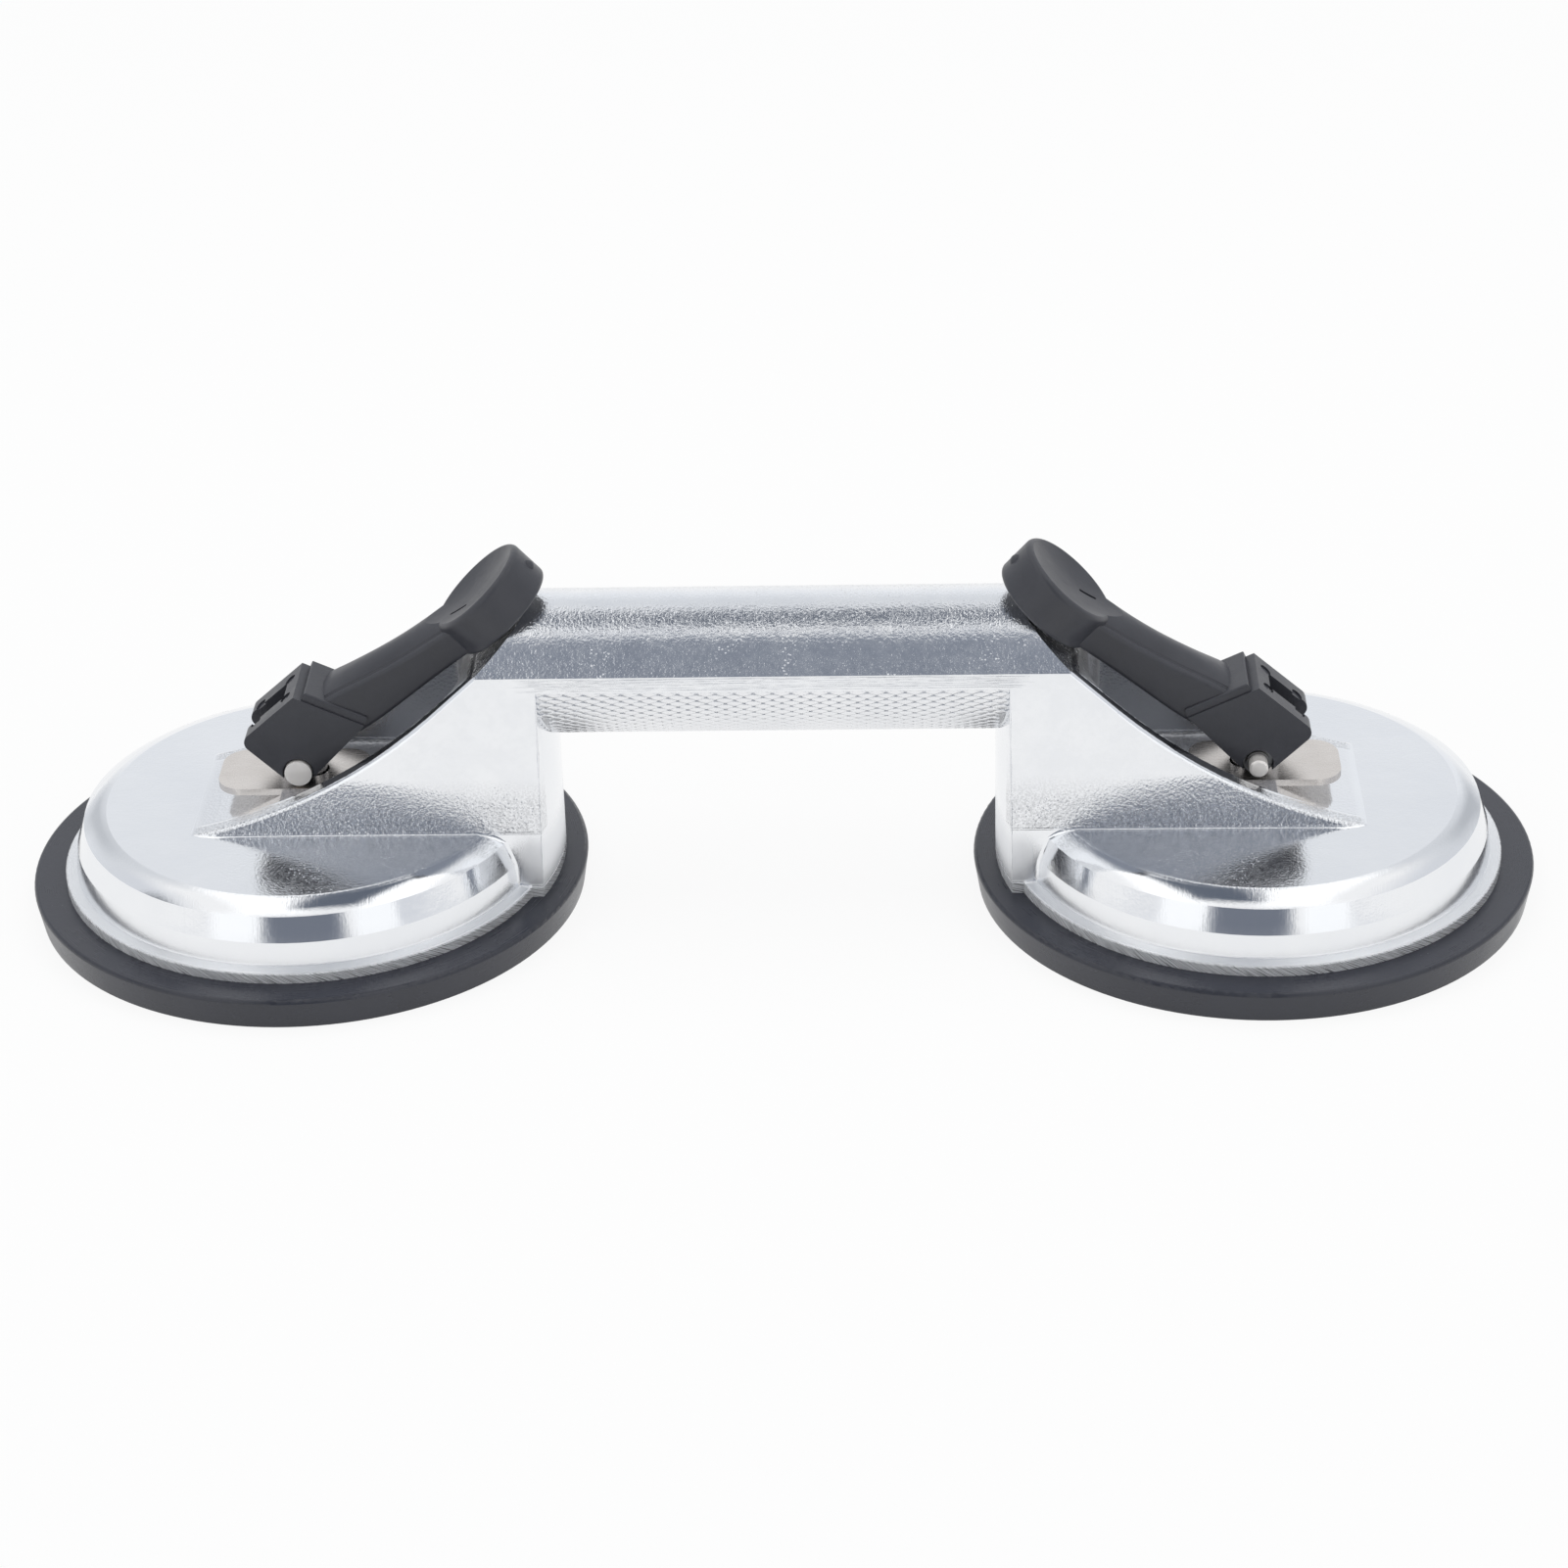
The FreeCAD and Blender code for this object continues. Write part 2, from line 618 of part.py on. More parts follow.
# Stations of the arm: share of the way from the arm's root to the tab, sag below the
# straight between them, slope in degrees, width, height, drop of the sides below the back
ARM_ROOT = (6.5, 11.6)
ARM_STATIONS = (
    (0.00, 0.0, 24, 15.2, 10.4, 1.8),
    (0.16, 0.6, 33, 13.8, 11.6, 2.4),
    (0.35, 0.8, 37, 13.0, 10.8, 3.0),
    (0.54, 0.8, 37, 12.8, 9.8, 3.2),
    (0.73, 0.5, 40, 14.8, 9.0, 3.0),
    (0.90, 0.4, 42, 17.0, 8.4, 2.6),
)


def lever_arm():
    root = lever_point(*ARM_ROOT)
    reach = tab_centre() - root
    sag = xz(reach.z, -reach.x)
    sag.normalize()
    wires = [arm_section(root + reach * share + sag * drop, math.radians(slope), width, height, corner)
             for share, drop, slope, width, height, corner in ARM_STATIONS]
    return Part.makeLoft(wires, True, False)


def thumb_tab():
    """Round tab with rounded edges, drawn level and then tilted to its slope."""
    half = TAB_THICKNESS / 2
    outside = [
        xz(TAB_RADIUS - TAB_RIM, half),
        xz(0, half),
        xz(0, -half),
        xz(TAB_RADIUS - TAB_FOOT_ROUND, -half),
    ]
    foot = xz(TAB_RADIUS, TAB_FOOT_ROUND - half)
    rim = xz(TAB_RADIUS, half - TAB_RIM)
    side = [rounded(outside[-1], foot), line(foot, rim), rounded(rim, outside[0])]
    disc = revolved(chain(outside) + side)
    nub = Part.makeSphere(TAB_NUB_RADIUS, xz(TAB_RADIUS + TAB_NUB_STANDS_OUT - TAB_NUB_RADIUS, 0))
    return tilted_on_tab(disc.fuse(nub))


def thumb_dish():
    """Ball that scoops the shallow dish out of the tab's top."""
    rim = TAB_RADIUS - TAB_RIM
    ball = (rim ** 2 + TAB_DISH ** 2) / (2 * TAB_DISH)
    level = TAB_THICKNESS / 2 - TAB_DISH + ball
    return tilted_on_tab(Part.makeSphere(ball, xz(0, level)))


def tab_slot():
    """Narrow slot beside the arm, sunk in the dish."""
    bottom = TAB_THICKNESS / 2 - TAB_DISH - TAB_SLOT_DEPTH
    slot = obround(TAB_SLOT_LENGTH, TAB_SLOT_WIDTH, bottom, TAB_THICKNESS)
    slot.translate(FreeCAD.Vector(*TAB_SLOT_PLACE, 0))
    return tilted_on_tab(slot)


def tilted_on_tab(shape):
    shape.rotate(ORIGIN, Y_AXIS, -RAMP_ANGLE)
    shape.translate(tab_centre())
    return shape


def lever():
    body = lever_head().fuse([neck_band(), lever_arm(), thumb_tab()])
    bore = cylinder_y(PIN_RADIUS + SEAT_FIT, -HEAD_WIDTH, HEAD_WIDTH, 0, PIN_Z)
    head_seat = cylinder_y(PIN_HEAD_RADIUS + HEAD_SEAT_GAP, -HEAD_WIDTH,
                           COUNTERBORE_DEPTH - CHEEK_FACE, 0, PIN_Z)
    clip_seat = cylinder_y(CLIP_BORE_RADIUS, CHEEK_FACE - CLIP_BORE_DEPTH, HEAD_WIDTH, 0, PIN_Z)
    for tool in [head_slot(), thumb_dish(), tab_slot(), bore, head_seat, clip_seat] + pin_marks():
        body = body.cut(tool)
    return body


def hinge_pin():
    """Headed clevis pin, head on the -Y cheek."""
    head_face = -CHEEK_FACE - PIN_HEAD_STANDS_OUT
    shoulder = head_face + PIN_HEAD_THICKNESS
    end = CHEEK_FACE + PIN_TAIL
    head = cylinder_y(PIN_HEAD_RADIUS, head_face, shoulder, 0, PIN_Z)
    shank = cylinder_y(PIN_RADIUS, shoulder, end - PIN_CHAMFER, 0, PIN_Z)
    point = Part.makeCone(PIN_RADIUS, PIN_RADIUS - PIN_CHAMFER, PIN_CHAMFER,
                          FreeCAD.Vector(0, end - PIN_CHAMFER, PIN_Z), Y_AXIS)
    return head.fuse([shank, point]).removeSplitter()


def pin_clip():
    """Push-on retainer in the counterbore round the pin's tail."""
    seat = CHEEK_FACE - CLIP_BORE_DEPTH
    ring = cylinder_y(CLIP_BORE_RADIUS - CLIP_SEAT_GAP, seat, seat + CLIP_THICKNESS, 0, PIN_Z)
    lip = cylinder_y(PIN_RADIUS + CLIP_THICKNESS, seat, seat + 2 * CLIP_THICKNESS, 0, PIN_Z)
    bore = cylinder_y(PIN_RADIUS, -HEAD_WIDTH, HEAD_WIDTH, 0, PIN_Z)
    return ring.fuse(lip).cut(bore).removeSplitter()


# ---- write the pieces ----------------------------------------------------------
def main():
    os.makedirs("parts", exist_ok=True)
    body_casting().exportStep("parts/body_casting.step")
    makers = {
        "rubber_pad": rubber_pad,
        "insert_disc": insert_disc,
        "pull_stud": pull_stud,
        "wear_plate": wear_plate,
        "lever": lever,
        "hinge_pin": hinge_pin,
        "pin_clip": pin_clip,
    }
    for name, make in makers.items():
        piece = make()
        for side in ("left", "right"):
            place(piece, side).exportStep(f"parts/{name}_{side}.step")


main()
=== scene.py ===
import math
from types import SimpleNamespace

import bpy
from mathutils import Matrix, Vector


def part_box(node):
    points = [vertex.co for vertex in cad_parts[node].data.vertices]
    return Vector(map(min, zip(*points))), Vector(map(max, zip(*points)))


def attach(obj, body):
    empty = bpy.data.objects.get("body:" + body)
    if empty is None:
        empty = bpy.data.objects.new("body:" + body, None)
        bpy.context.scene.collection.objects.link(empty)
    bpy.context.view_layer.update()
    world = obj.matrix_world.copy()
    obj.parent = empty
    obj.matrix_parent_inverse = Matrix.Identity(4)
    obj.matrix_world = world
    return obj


# Looks of the double suction lifter: metres, +Z up, standing on its pads, grip along X.
# The solids stay as they are.  They get their materials here, the casting also gets its
# knurl and the flash of its mould, and the photograph's camera and studio are set up.

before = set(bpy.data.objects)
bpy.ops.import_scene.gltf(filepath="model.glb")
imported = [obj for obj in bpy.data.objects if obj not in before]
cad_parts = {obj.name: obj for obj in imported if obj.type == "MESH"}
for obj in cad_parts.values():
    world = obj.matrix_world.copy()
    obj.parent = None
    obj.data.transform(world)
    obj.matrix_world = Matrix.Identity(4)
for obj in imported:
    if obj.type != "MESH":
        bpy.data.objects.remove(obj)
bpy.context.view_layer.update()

# ---- places on the solids ------------------------------------------------------
PAD_LOW, PAD_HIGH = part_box("rubber_pad_left")
CUP_X = -(PAD_LOW.x + PAD_HIGH.x) / 2          # the cups' axes stand at -CUP_X and +CUP_X
PAD_TOP = PAD_HIGH.z
LEDGE_RADIUS = 0.0505          # foot of the dish's skirt, from the cup's axis as the next two
FLANGE_RADIUS = 0.0530
RISER_RADIUS = 0.0553          # the risers' inner ends
RISER_DRAFT = math.radians(2.0)
PLATEAU_Z = 0.0220             # flat top of the dish
BAND_BOTTOM = 0.0547           # upright band on each side of the grip
BAND_TOP = 0.0583
GRIP_HALF = 0.0170             # half of the grip's width
POCKET_HALF = 0.0142           # half of the lever pocket's width
BELLY_RADIUS = 0.01652         # the grip's underside, set in for the knurl
BELLY_Z = 0.05552

# ---- limits of the casting's zones ---------------------------------------------
HEAD_CHANNEL = (-0.0420, -0.0080)      # from and to, outward from the cup's axis
POCKET_MOUTH = (-0.0085, 0.0226)
POCKET_EDGE = 0.0004                   # how softly these two end
MOUTH_FADE = (-0.0080, 0.0060)         # from here on: where a soft edge starts and ends
MOUTH_SHARE = 0.12                     # cast skin left where the mouth has faded out
BESIDE_FADE = (-0.0020, 0.0160)
CROWN_RADIUS = (0.0380, 0.0420)        # these three from the cup's axis
FILED_RADIUS = (0.0480, 0.0560)
HEEL_RADIUS = (0.0490, 0.0530)
CHANNEL_TOP = (0.0560, 0.0580)         # these three are heights
RECESS_FOOT = (0.0300, 0.0310)
HEEL_TOP = (0.0180, 0.0240)

# ---- patterns ------------------------------------------------------------------
HAIR_STRETCH = (9.0, 0.55, 0.55)       # how much finer a pattern is along X, Y and Z
FILE_STRETCH = (0.12, 1.0, 12.0)
BRUSH_STRETCH = (0.25, 3.0, 1.0)
BELT_SLANT = 1.6               # how far the belt's marks lean as they go up
BELT_SCALE = (2500.0, 120.0)   # round the flange and up it, per metre
LATHE_SCALE = (5200.0, 5.0)    # away from the cup's axis, per metre, and round it
RING_SCALE = 2400.0            # rings on the rubber, per metre

# ---- colours, the darker tone of a pair first ----------------------------------
POLISHED = (0.83, 0.845, 0.87), (0.88, 0.89, 0.905)
# crown: worn patches, plus a painted dark bluish reflection that grows towards the grip's sides
CROWN_WEAR_AND_REFLECTION = (0.66, 0.685, 0.735)
FACE_CLOUD = (0.74, 0.755, 0.78)
FOOT_GRAIN = (0.62, 0.63, 0.65)
POCKET_SKIN = (0.50, 0.505, 0.53)
KNURL_RECESS = (0.84, 0.85, 0.87)
BELT_MARK = (0.20, 0.20, 0.21)
KNURL = (0.82, 0.83, 0.85), (0.88, 0.885, 0.90)
RUBBER = (0.024, 0.0258, 0.0355), (0.040, 0.0430, 0.0575)
DUST = (0.34, 0.35, 0.37)
PLASTIC = (0.032, 0.033, 0.041), (0.053, 0.055, 0.067)
STEELS = (
    # pieces, material, darker tone, lighter tone, roughness from and to, metallic
    ("wear_plate", "plate_steel", (0.66, 0.615, 0.575), (0.80, 0.755, 0.715), (0.22, 0.30), 1.0),
    ("hinge_pin", "pin_steel", (0.92, 0.88, 0.84), (0.97, 0.94, 0.91), (0.30, 0.42), 0.25),
    ("pin_clip", "clip_steel", (0.10, 0.10, 0.10), (0.22, 0.22, 0.22), (0.25, 0.40), 1.0),
    ("pull_stud", "stud_steel", (0.42, 0.42, 0.43), (0.60, 0.60, 0.60), (0.20, 0.32), 1.0),
    ("insert_disc", "disc_steel", (0.40, 0.40, 0.41), (0.56, 0.56, 0.56), (0.25, 0.40), 1.0),
)


# ---- node helper ---------------------------------------------------------------
class Tree:
    """Short calls for building the nodes of one material, or of the world."""

    def __init__(self, owner, output="ShaderNodeOutputMaterial"):
        owner.use_nodes = True
        self.owner = owner
        self.nodes = owner.node_tree.nodes
        self.links = owner.node_tree.links
        self.nodes.clear()
        self.output = self.nodes.new(output)
        self.place = self.nodes.new("ShaderNodeTexCoord").outputs["Object"]

    def put(self, socket, value):
        if isinstance(value, bpy.types.NodeSocket):
            self.links.new(value, socket)
        elif value is not None:
            socket.default_value = value

    def add(self, kind, inputs=None, **settings):
        node = self.nodes.new(kind)
        for key, value in settings.items():
            setattr(node, key, value)
        for key, value in (inputs or {}).items():
            self.put(node.inputs[key], value)
        return node

    def math(self, operation, a, b=None):
        node = self.add("ShaderNodeMath", operation=operation)
        for socket, value in zip(node.inputs, (a, b)):
            self.put(socket, value)
        return node.outputs[0]

    def product(self, value, *factors):
        for factor in factors:
            value = self.math("MULTIPLY", value, factor)
        return value

    def total(self, value, *others):
        for other in others:
            value = self.math("ADD", value, other)
        return value

    def scaled(self, factors):
        """The place on the piece, with each axis stretched by its own factor."""
        return self.add("ShaderNodeVectorMath", {0: self.place, 1: factors},
                        operation="MULTIPLY").outputs[0]

    def joined(self, x, y=None):
        return self.add("ShaderNodeCombineXYZ", {0: x, 1: y}).outputs[0]

    def noise(self, scale, detail, vector=None, roughness=0.5):
        node = self.add("ShaderNodeTexNoise", {
            "Vector": vector or self.place, "Scale": scale, "Detail": detail,
            "Roughness": roughness})
        return node.outputs["Fac"]

    def cells(self, scale):
        """Distance from the nearest of many scattered points."""
        node = self.add("ShaderNodeTexVoronoi", {"Vector": self.place, "Scale": scale})
        return node.outputs["Distance"]

    def span(self, value, low, high, out_low=0.0, out_high=1.0):
        """Value stretched from one range to another and held inside it."""
        node = self.add("ShaderNodeMapRange", {"Value": value, "From Min": low, "From Max": high,
                                               "To Min": out_low, "To Max": out_high})
        return node.outputs["Result"]

    def rise(self, value, none, full):
        """0 up to none, 1 from full on."""
        return self.span(value, none, full)

    def fall(self, value, full, none):
        """1 up to full, 0 from none on."""
        return self.span(value, full, none, 1.0, 0.0)

    def band(self, value, low, high, soft):
        """1 between low and high, fading out over soft."""
        return self.product(self.rise(value, low - soft, low), self.fall(value, high, high + soft))

    def mix(self, share, a, b):
        """Colour a, with this share of colour b."""
        node = self.add("ShaderNodeMix", data_type="RGBA")
        self.put(node.inputs["Factor"], share)
        for socket, value in ((node.inputs[6], a), (node.inputs[7], b)):
            self.put(socket, (*value, 1) if isinstance(value, tuple) else value)
        return node.outputs[2]

    def blend(self, share, a, b):
        """Number a, with this share of number b."""
        node = self.add("ShaderNodeMix", data_type="FLOAT")
        for socket, value in ((node.inputs[0], share), (node.inputs[2], a), (node.inputs[3], b)):
            self.put(socket, value)
        return node.outputs[0]

    def axes(self):
        node = self.add("ShaderNodeSeparateXYZ", {0: self.place})
        return node.outputs[0], node.outputs[1], node.outputs[2]

    def bump(self, height, distance, below=None, strength=1.0):
        node = self.add("ShaderNodeBump", {"Height": height, "Distance": distance,
                                           "Strength": strength, "Normal": below})
        return node.outputs["Normal"]

    def glow(self, colour):
        return self.add("ShaderNodeEmission", {"Color": (*colour, 1), "Strength": 1.0}).outputs[0]

    def layered(self, share, first, second):
        """The first shader, with this share of the second one."""
        return self.add("ShaderNodeMixShader", {0: share, 1: first, 2: second}).outputs[0]

    def finish(self, shader):
        self.links.new(shader, self.output.inputs["Surface"])
        return self.owner

    def surface(self, **inputs):
        shader = self.add("ShaderNodeBsdfPrincipled")
        for key, value in inputs.items():
            self.put(shader.inputs[key.replace("_", " ")], value)
        return self.finish(shader.outputs[0])


def material_tree(name):
    return Tree(bpy.data.materials.new(name))


# ---- materials -----------------------------------------------------------------
def cup_radius(t):
    """Distance from the nearer cup's axis."""
    x, y, _ = t.axes()
    off_axis = t.math("SUBTRACT", t.math("ABSOLUTE", x), CUP_X)
    return t.math("SQRT", t.total(t.product(off_axis, off_axis), t.product(y, y)))


def casting_zones(t, radius, depth, outward, z):
    """Masks, 0 to 1, of the areas of the casting that were finished in ways of their own.
    Depth is the distance from the middle plane, outward runs from the cup's axis away
    from the grip."""
    riser_side = t.rise(depth, POCKET_HALF + 0.0004, POCKET_HALF + 0.0010)

    # the channel round the lever's head keeps its cast skin, less so at its open end
    channel = t.product(t.band(outward, *HEAD_CHANNEL, POCKET_EDGE), t.fall(z, *CHANNEL_TOP))
    mouth = t.product(t.span(outward, *MOUTH_FADE, 1.0, MOUTH_SHARE),
                      t.band(outward, *POCKET_MOUTH, POCKET_EDGE))
    pocket = t.product(t.fall(depth, POCKET_HALF - 0.00025, POCKET_HALF + 0.00015),
                       t.math("MAXIMUM", channel, mouth),
                       t.rise(z, PLATEAU_Z + 0.0002, PLATEAU_Z + 0.0006))

    # the flange's upright edge is ground on a coarse belt, the ledge above it is turned
    ground = t.product(t.rise(radius, FLANGE_RADIUS - 0.0003, FLANGE_RADIUS - 0.0001),
                       t.fall(z, PAD_TOP + 0.0022, PAD_TOP + 0.0025))
    ledge = t.product(t.rise(radius, LEDGE_RADIUS - 0.0005, LEDGE_RADIUS - 0.0001),
                      t.fall(z, PAD_TOP + 0.0027, PAD_TOP + 0.0031))

    # the grip: arched top, filed upright band, recess under the knurl
    crown = t.product(t.rise(radius, *CROWN_RADIUS),
                      t.rise(z, BAND_TOP - 0.0003, BAND_TOP + 0.0001))
    filed = t.product(t.band(z, BAND_BOTTOM + 0.0005, BAND_TOP - 0.0005, 0.0006),
                      t.rise(depth, GRIP_HALF - 0.0010, GRIP_HALF - 0.0004),
                      t.rise(radius, *FILED_RADIUS))
    recess = t.product(t.rise(radius, RISER_RADIUS, RISER_RADIUS + 0.0001),
                       t.fall(z, BAND_BOTTOM - 0.0001, BAND_BOTTOM + 0.0001),
                       t.rise(z, *RECESS_FOOT))

    # the riser: its side faces, their grainy foot, the dish beside them, its inner heel
    face = t.product(riser_side, t.rise(z, PLATEAU_Z + 0.0001, PLATEAU_Z + 0.0080))
    foot = t.product(riser_side, t.rise(z, PLATEAU_Z + 0.0001, PLATEAU_Z + 0.0004),
                     t.fall(z, PLATEAU_Z + 0.0070, PLATEAU_Z + 0.0130))
    beside = t.product(t.band(z, PLATEAU_Z - 0.0001, PLATEAU_Z + 0.0001, 0.0001),
                       t.rise(depth, POCKET_HALF + 0.0008, POCKET_HALF + 0.0038),
                       t.fall(outward, *BESIDE_FADE))
    heel = t.product(t.rise(radius, *HEEL_RADIUS),
                     t.rise(z, PAD_TOP + 0.0024, PAD_TOP + 0.0028), t.fall(z, *HEEL_TOP))
    return SimpleNamespace(pocket=pocket, ground=ground, ledge=ledge, crown=crown, filed=filed,
                           recess=recess, face=face, foot=foot, beside=beside, heel=heel)


def casting_marks(t, radius, turn, z):
    """Patterns, about 0 to 1, of the polish and of the tools that made the surfaces."""
    slant = t.total(t.product(turn, FLANGE_RADIUS), t.product(z, BELT_SLANT))
    across_belt, up_belt = BELT_SCALE
    across_rings, round_rings = LATHE_SCALE
    return SimpleNamespace(
        mottle=t.noise(scale=38, detail=4, roughness=0.6),
        peel=t.noise(scale=1500, detail=2, roughness=0.6),
        coarse=t.noise(scale=620, detail=3, roughness=0.6),
        cloud=t.noise(scale=150, detail=3),
        grit=t.noise(scale=1900, detail=2, roughness=0.7),
        pits=t.product(t.span(t.cells(scale=1300), 0.26, 0.05),
                       t.span(t.noise(scale=80, detail=2), 0.53, 0.62)),
        # hairline scratches across the lifter, and strokes of the file along it
        hairs=t.noise(scale=260, detail=3, vector=t.scaled(HAIR_STRETCH), roughness=0.7),
        strokes=t.noise(scale=300, detail=3, vector=t.scaled(FILE_STRETCH), roughness=0.7),
        # slanting marks of the belt round the flange, and rings of the lathe
        belt=t.noise(scale=1.0, detail=3, roughness=0.7,
                     vector=t.joined(t.product(slant, across_belt), t.product(z, up_belt))),
        lathe=t.noise(scale=1.0, detail=3, roughness=0.7,
                      vector=t.joined(t.product(radius, across_rings),
                                      t.product(turn, round_rings))),
        skin=t.total(t.product(t.noise(scale=900, detail=3, roughness=0.65), 0.6),
                     t.product(t.cells(scale=1500), 0.5)))


def cast_aluminium():
    t = material_tree("cast_aluminium")
    x, y, z = t.axes()
    radius = cup_radius(t)
    depth = t.math("ABSOLUTE", y)
    outward = t.math("SUBTRACT", t.math("ABSOLUTE", x), CUP_X)
    turn = t.math("ARCTAN2", y, t.product(outward, t.math("SIGN", x)))
    zone = casting_zones(t, radius, depth, outward, z)
    mark = casting_marks(t, radius, turn, z)

    patch = t.total(t.product(mark.coarse, 0.45), t.product(mark.cloud, 0.55))
    # painted dark bluish reflection on the crown, stronger towards the grip's sides, in patches
    # that also stand for wear
    crown_wear_and_reflection = t.product(zone.crown, t.span(depth, 0.0040, 0.0120, 0.15, 0.62),
                     t.span(patch, 0.62, 0.40))
    base = t.mix(t.span(mark.mottle, 0.3, 0.75), *POLISHED)
    base = t.mix(crown_wear_and_reflection, base, CROWN_WEAR_AND_REFLECTION)
    base = t.mix(t.product(zone.face, t.span(patch, 0.58, 0.42, 0.0, 0.20)), base, FACE_CLOUD)
    base = t.mix(t.product(zone.foot, t.span(mark.grit, 0.60, 0.40), 0.8), base, FOOT_GRAIN)
    base = t.mix(t.product(zone.pocket, 0.8), base, POCKET_SKIN)
    base = t.mix(zone.recess, base, KNURL_RECESS)
    base = t.mix(t.product(zone.ground, t.span(mark.belt, 0.52, 0.42)), base, BELT_MARK)

    rough = t.total(t.span(mark.mottle, 0.3, 0.8, 0.06, 0.12),
                    t.span(mark.hairs, 0.5, 0.8, 0.0, 0.06))
    for area, value in (
            (zone.crown, t.span(mark.coarse, 0.3, 0.7, 0.10, 0.20)),
            (t.math("MAXIMUM", zone.foot, zone.beside), t.span(mark.coarse, 0.3, 0.7, 0.15, 0.25)),
            (zone.heel, 0.45), (zone.pocket, 0.42), (zone.recess, 0.40), (zone.ledge, 0.24),
            (zone.ground, 0.28)):
        rough = t.blend(area, rough, value)

    metal = t.span(t.total(t.product(zone.ledge, 0.7), zone.ground), 0.0, 1.0, 1.0, 0.40)
    cast = t.total(t.product(zone.crown, 0.85), t.total(zone.foot, t.product(zone.beside, 0.5)))
    grain = t.total(cast, t.total(t.product(zone.face, 0.14), 0.08))
    scratched = t.total(t.product(zone.crown, 0.5), 0.2)
    normal = t.bump(mark.mottle, distance=0.0004, strength=0.22)
    for pattern, area, distance, strength in (
            (mark.peel, grain, 0.00010, 1.0), (mark.hairs, scratched, 0.00004, 1.0),
            (mark.pits, cast, 0.00012, 0.9), (mark.strokes, zone.filed, 0.0002, 0.8),
            (mark.skin, zone.pocket, 0.0003, 0.8), (mark.lathe, zone.ledge, 0.0001, 0.8),
            (mark.belt, zone.ground, 0.0004, 0.9)):
        normal = t.bump(t.product(pattern, area), distance, normal, strength)
    return t.surface(Base_Color=base, Metallic=metal, Roughness=rough, Normal=normal)


def knurl_aluminium():
    t = material_tree("knurl_aluminium")
    mottle = t.noise(scale=60, detail=3)
    peel = t.noise(scale=1500, detail=2, roughness=0.6)
    return t.surface(Base_Color=t.mix(t.span(mottle, 0.3, 0.75), *KNURL), Metallic=1.0,
                     Roughness=t.span(peel, 0.3, 0.7, 0.26, 0.38),
                     Normal=t.bump(peel, distance=0.00003, strength=0.5))


def pad_rubber():
    t = material_tree("pad_rubber")
    cloud = t.noise(scale=60, detail=4, roughness=0.6)
    fine = t.noise(scale=1400, detail=2)
    rings = t.noise(scale=1.0, detail=2, roughness=0.7,
                    vector=t.joined(t.product(cup_radius(t), RING_SCALE)))
    specks = t.product(t.span(t.cells(scale=420), 0.055, 0.03),
                       t.span(t.noise(scale=90, detail=2), 0.50, 0.62))
    base = t.mix(t.product(specks, 0.5), t.mix(cloud, *RUBBER), DUST)
    rough = t.total(t.span(cloud, 0.3, 0.7, 0.20, 0.34), t.span(rings, 0.4, 0.7, 0.0, 0.05))
    normal = t.bump(fine, distance=0.00006, strength=0.35)
    normal = t.bump(rings, distance=0.00004, below=normal, strength=0.5)
    return t.surface(Base_Color=base, Roughness=rough, Normal=normal, Specular_IOR_Level=0.5)


def satin_steel(name, darker, lighter, roughness, metallic):
    t = material_tree(name)
    brushed = t.noise(scale=900, detail=3, vector=t.scaled(BRUSH_STRETCH), roughness=0.7)
    tone = t.total(t.product(brushed, 0.35), t.product(t.noise(scale=90, detail=3), 0.65))
    return t.surface(Base_Color=t.mix(t.span(tone, 0.3, 0.7), darker, lighter),
                     Metallic=metallic, Roughness=t.span(brushed, 0.3, 0.7, *roughness),
                     Normal=t.bump(brushed, distance=0.000008, strength=0.6))


def lever_plastic():
    t = material_tree("lever_plastic")
    cloud = t.noise(scale=120, detail=4, roughness=0.6)
    fine = t.noise(scale=2600, detail=2)
    normal = t.bump(cloud, distance=0.0006, strength=0.25)
    normal = t.bump(fine, distance=0.00004, below=normal, strength=0.4)
    return t.surface(Base_Color=t.mix(cloud, *PLASTIC), Normal=normal,
                     Roughness=t.span(cloud, 0.3, 0.7, 0.34, 0.46), Specular_IOR_Level=0.5)


def dress(prefix, material):
    for name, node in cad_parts.items():
        if name.startswith(prefix):
            node.data.materials.clear()
            node.data.materials.append(material)


CAST_ALUMINIUM = cast_aluminium()
dress("body_casting", CAST_ALUMINIUM)
dress("rubber_pad", pad_rubber())
for pieces, *steel in STEELS:
    dress(pieces, satin_steel(*steel))
dress("lever", lever_plastic())


# ---- pieces the casting carries ------------------------------------------------
KNURL_MARGIN = 0.0008          # bare strip along each edge of the grip's underside
KNURL_OVERRUN = 0.0008         # a lozenge may run this far into a riser
LOZENGE_PITCH = 0.00395        # along a row
LOZENGE_ROW = 0.00085          # from row to row
LOZENGE_HALF_LENGTH = 0.00198
LOZENGE_HALF_WIDTH = 0.00086
LOZENGE_SIDES = 12
LOZENGE_POWER = 1.6            # 1 gives an ellipse, 2 a rhombus
LOZENGE_RISE = 0.00028         # middle of a lozenge above the recess
# Rings of a lozenge, from its foot up: share of its size, height above the recess
LOZENGE_RINGS = ((1.0, -0.00005), (0.86, 0.00021), (0.55, 0.00026))

FLASH_LOW = 0.0125             # heights between which the flash runs
FLASH_HIGH = 0.0546
FLASH_RADIUS = 0.00022
FLASH_SIDES = 6
FLASH_LEVELS = 46
FLASH_WAVES = ((0.25, 23), (0.15, 71))         # how much the radius varies, and how fast
FLASH_MEAN = 0.75
FLASH_TIP = 0.2                # share of the radius at its two ends
FLASH_TAPER = 8                # how fast it thickens from there


